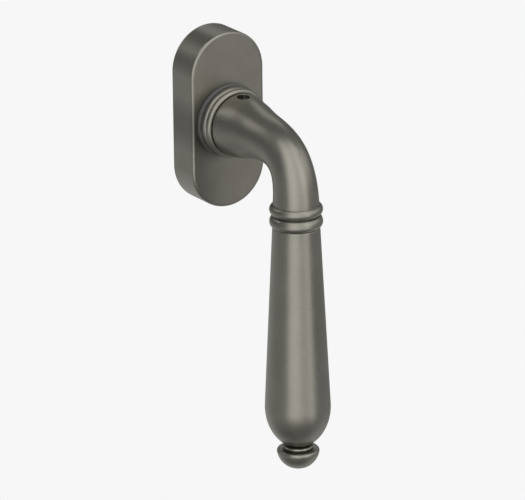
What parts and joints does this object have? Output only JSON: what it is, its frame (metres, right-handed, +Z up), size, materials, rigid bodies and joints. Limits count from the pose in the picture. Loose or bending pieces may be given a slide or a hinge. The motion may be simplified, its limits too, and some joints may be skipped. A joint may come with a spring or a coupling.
{
  "type": "tilt and turn window handle",
  "caption": "Tilt and turn window handle: a turned lever with beaded ferrule and finial on a narrow rosette with round ends, with detents, set screw, square spindle and locating lugs.",
  "frame": {"origin": "where the spindle's axis crosses the back face of the base plate, which is the face of the sash", "axes": "+X right seen from the room, +Y into the sash along the spindle, +Z up; the lever hangs along -Z in the closed position"},
  "size_m": [0.032, 0.0873, 0.1593],
  "materials": {
    "pewter_brass": "satin dark pewter plating over brass, fine grain, clear sealed",
    "bush_polymer": "dark grey moulded acetal, fine matt",
    "zinc_casting": "bare die-cast zinc, tumbled",
    "zinced_steel": "bright zinc plated steel",
    "spring_steel": "blued spring steel strip",
    "bearing_polymer": "natural acetal"
  },
  "bodies": {
    "rosette": {"base_plate": "zinc_casting", "rosette_cover": "pewter_brass", "collar_bush": "bush_polymer", "lug_upper": "zinced_steel", "lug_lower": "zinced_steel", "fixing_screw_upper": "zinced_steel", "fixing_screw_lower": "zinced_steel", "hub_bush": "bearing_polymer", "spring_washer": "spring_steel", "detent_spring_left": "spring_steel", "detent_spring_right": "spring_steel", "keeper_plate": "zinced_steel", "keeper_rivets": "zinced_steel", "cover_clip_upper": "spring_steel", "cover_clip_lower": "spring_steel"},
    "lever": {"drive_hub": "zinc_casting", "spindle": "zinced_steel", "lever_neck": "pewter_brass", "neck_collar": "pewter_brass", "set_screw": "zinced_steel", "grip_ferrule": "pewter_brass", "grip": "pewter_brass", "tie_rod": "zinced_steel", "finial": "pewter_brass"}
  },
  "joints": [
    {"name": "handle_turn", "type": "hinge", "parent": "rosette", "child": "lever", "pos_m": [0, 0, 0], "axis": [0, -1, 0], "range_deg": [0, 180], "deforming": ["detent_spring_left", "detent_spring_right"]}
  ]
}
